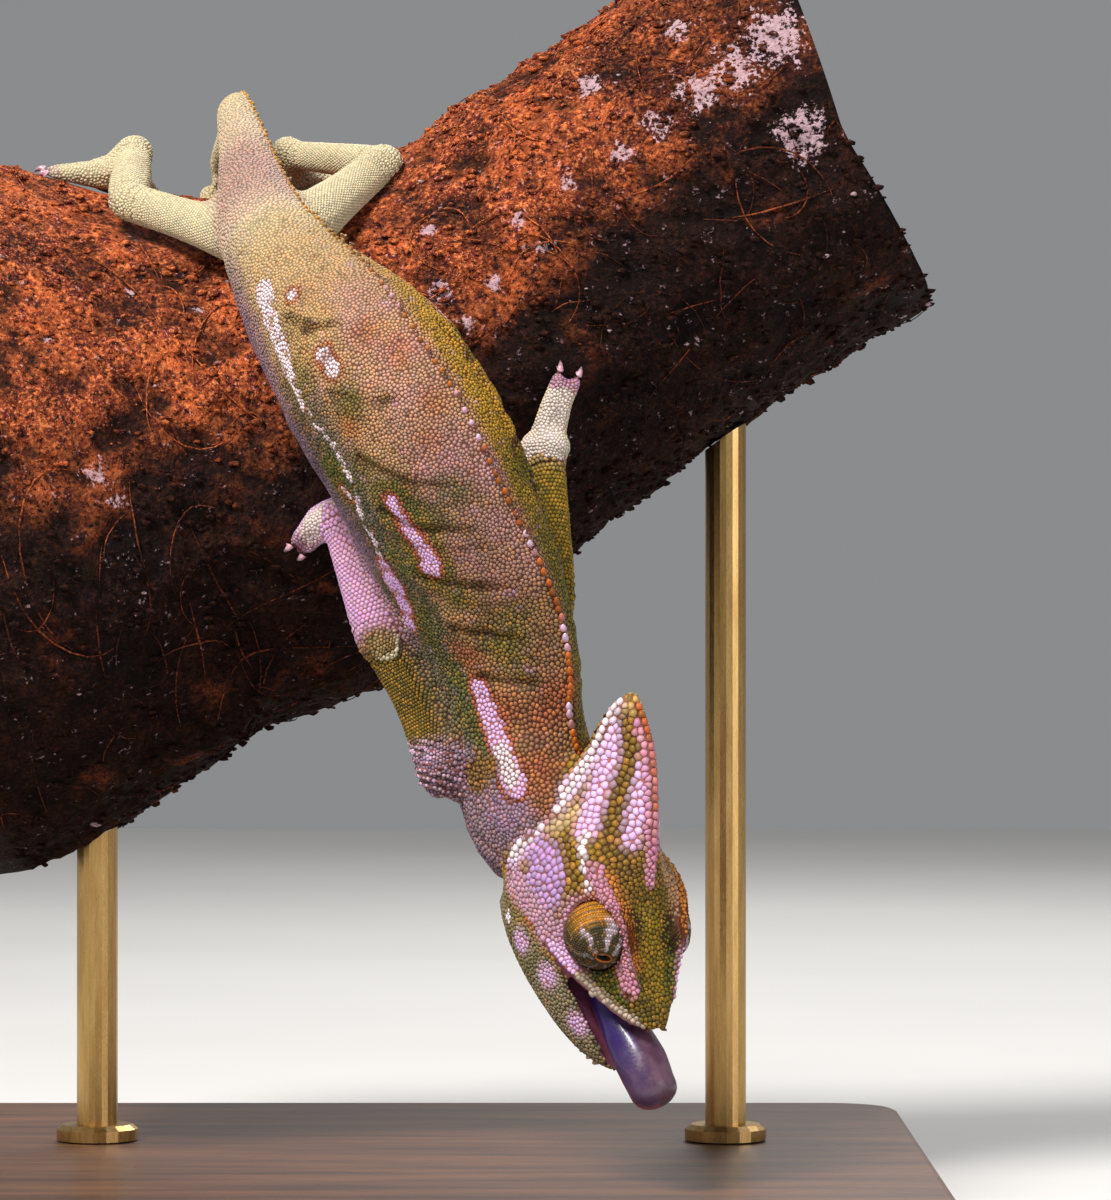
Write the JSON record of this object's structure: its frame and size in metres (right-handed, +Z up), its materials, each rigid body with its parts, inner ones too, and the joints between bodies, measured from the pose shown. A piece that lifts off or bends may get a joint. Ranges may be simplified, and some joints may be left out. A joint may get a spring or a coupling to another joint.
{
  "type": "veiled chameleon figure",
  "caption": "Life-size veiled chameleon climbing head down over a cut branch, mouth open and tongue showing, on a flat base with round rods.",
  "frame": {"origin": "middle of the stand base's underside", "axes": "+Z up; the animal's back and the picture's viewpoint are towards -Y; +X is to the right as seen from there"},
  "size_m": [0.21, 0.184, 0.2499],
  "materials": {
    "flank": "beaded green and rust scales, satin",
    "head": "large rounded scales, lilac, white and olive, satin",
    "limb": "fine beaded scales, yellow green to cream, satin",
    "tail": "fine beaded scales, cream and tan, satin",
    "eye": "finely folded olive lids round a small dark pupil",
    "tongue": "wet grey pink and violet",
    "bark": "rough crumbling rust-brown bark",
    "base": "dark oiled wood, satin",
    "rod": "brushed brass"
  },
  "bodies": {
    "root": {"head": "head", "lower_jaw": "head", "tongue": "tongue", "eye_right": "eye", "eye_left": "eye", "neck": "flank", "torso": "flank", "tail_base": "tail", "tail_middle": "tail", "tail_tip": "tail", "foreleg_right_upper": "limb", "foreleg_right_lower": "limb", "forefoot_right": "limb", "foreleg_left_upper": "limb", "foreleg_left_lower": "limb", "forefoot_left": "limb", "hindleg_right_upper": "limb", "hindleg_right_lower": "limb", "hindfoot_right": "limb", "hindleg_left_upper": "limb", "hindleg_left_lower": "limb", "hindfoot_left": "limb", "perch_branch": "bark", "stand_base": "base", "stand_rod_left": "rod", "stand_rod_right": "rod"}
  },
  "joints": []
}
